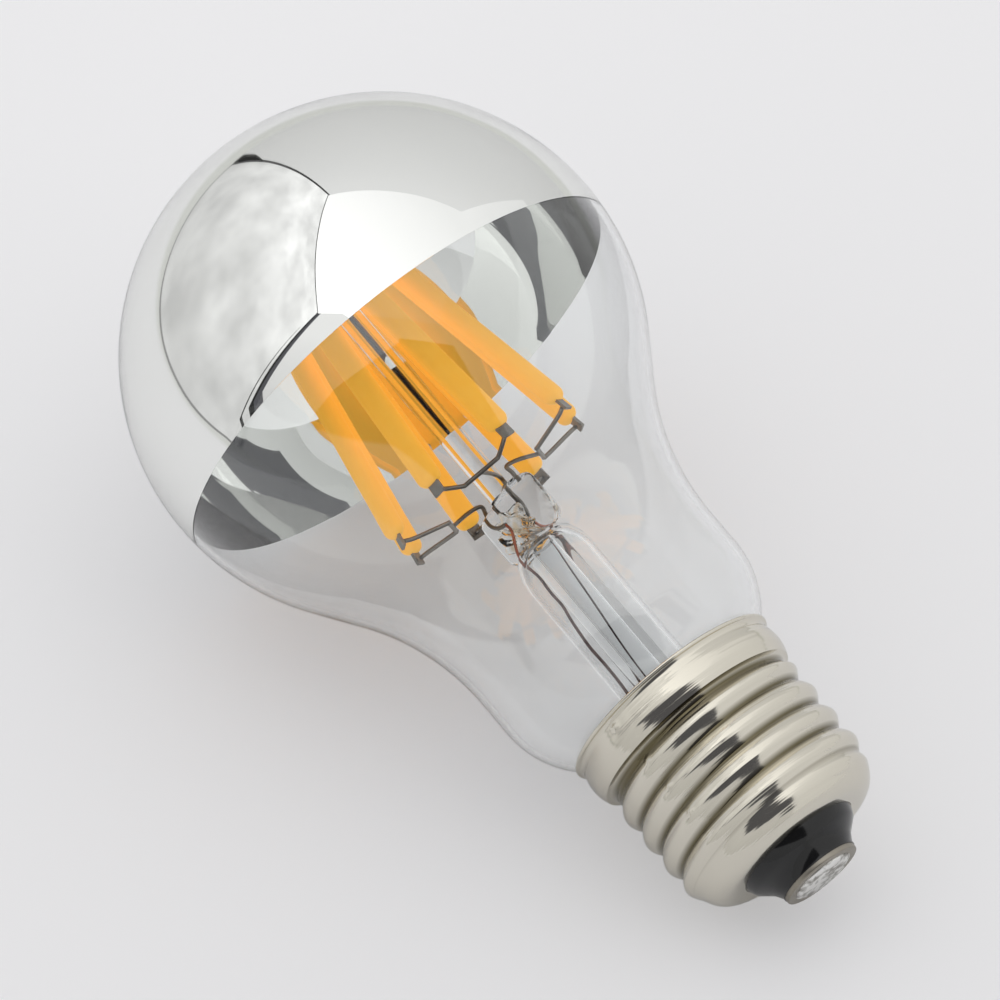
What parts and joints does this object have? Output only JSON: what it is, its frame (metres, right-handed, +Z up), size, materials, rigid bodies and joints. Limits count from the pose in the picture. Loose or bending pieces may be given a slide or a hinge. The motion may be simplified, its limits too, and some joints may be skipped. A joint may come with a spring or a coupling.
{
  "type": "silver crown filament lamp",
  "caption": "Pear-shaped glass filament lamp with a mirrored crown, amber stick filaments on a wire cage and a screw cap.",
  "frame": {"origin": "middle of the underside of the lamp's bounding box, on the table it lies on", "axes": "+Z up from the table; the lamp's axis lies in the XZ plane, with the mirrored crown towards -X and the screw cap towards +X, tilted down to the cap"},
  "size_m": [0.1092, 0.0612, 0.0612],
  "materials": {
    "clear_glass": "clear soda-lime glass, fire polished",
    "stem_glass": "clear lead-free stem glass",
    "silver_coat": "vacuum-deposited mirror coat behind glass",
    "phosphor": "amber phosphor in silicone, satin",
    "filament_metal": "thin dull metal strip",
    "nickel_wire": "drawn nickel wire, slightly dull",
    "lead_copper": "bare copper wire, oxidised",
    "nickel_plate": "nickel-plated rolled sheet, polished",
    "black_glass": "black vitreous insulator, glossy",
    "contact_brass": "brass disc, tinned",
    "solder": "tin solder, dull",
    "cement": "hard basing cement",
    "board_green": "printed board with green lacquer",
    "capacitor_can": "sleeved aluminium can",
    "chip_black": "moulded black epoxy",
    "resistor_body": "lacquered ceramic body"
  },
  "bodies": {
    "root": {"glass_envelope": "clear_glass", "stem_flare": "stem_glass", "exhaust_tube": "stem_glass", "centre_rod": "stem_glass", "crown_mirror": "silver_coat", "phosphor_coat_1": "phosphor", "phosphor_coat_2": "phosphor", "phosphor_coat_3": "phosphor", "phosphor_coat_4": "phosphor", "phosphor_coat_5": "phosphor", "phosphor_coat_6": "phosphor", "phosphor_coat_7": "phosphor", "phosphor_coat_8": "phosphor", "filament_strip_1": "filament_metal", "filament_strip_2": "filament_metal", "filament_strip_3": "filament_metal", "filament_strip_4": "filament_metal", "filament_strip_5": "filament_metal", "filament_strip_6": "filament_metal", "filament_strip_7": "filament_metal", "filament_strip_8": "filament_metal", "lower_bracket_1": "nickel_wire", "lower_bracket_2": "nickel_wire", "lower_bracket_3": "nickel_wire", "lower_bracket_4": "nickel_wire", "bracket_post_1": "nickel_wire", "bracket_post_2": "nickel_wire", "bracket_post_3": "nickel_wire", "bracket_post_4": "nickel_wire", "upper_link_1": "nickel_wire", "upper_link_2": "nickel_wire", "upper_link_3": "nickel_wire", "upper_link_4": "nickel_wire", "top_anchor_1": "nickel_wire", "top_anchor_2": "nickel_wire", "top_anchor_3": "nickel_wire", "top_anchor_4": "nickel_wire", "lead_wire_1": "lead_copper", "lead_wire_2": "lead_copper", "centre_lead": "lead_copper", "shell_lead": "lead_copper", "screw_shell": "nickel_plate", "insulator": "black_glass", "centre_contact": "contact_brass", "contact_solder": "solder", "cap_cement": "cement", "driver_board": "board_green", "smoothing_capacitor": "capacitor_can", "bridge_rectifier": "chip_black", "control_chip": "chip_black", "fuse_resistor": "resistor_body"}
  },
  "joints": []
}
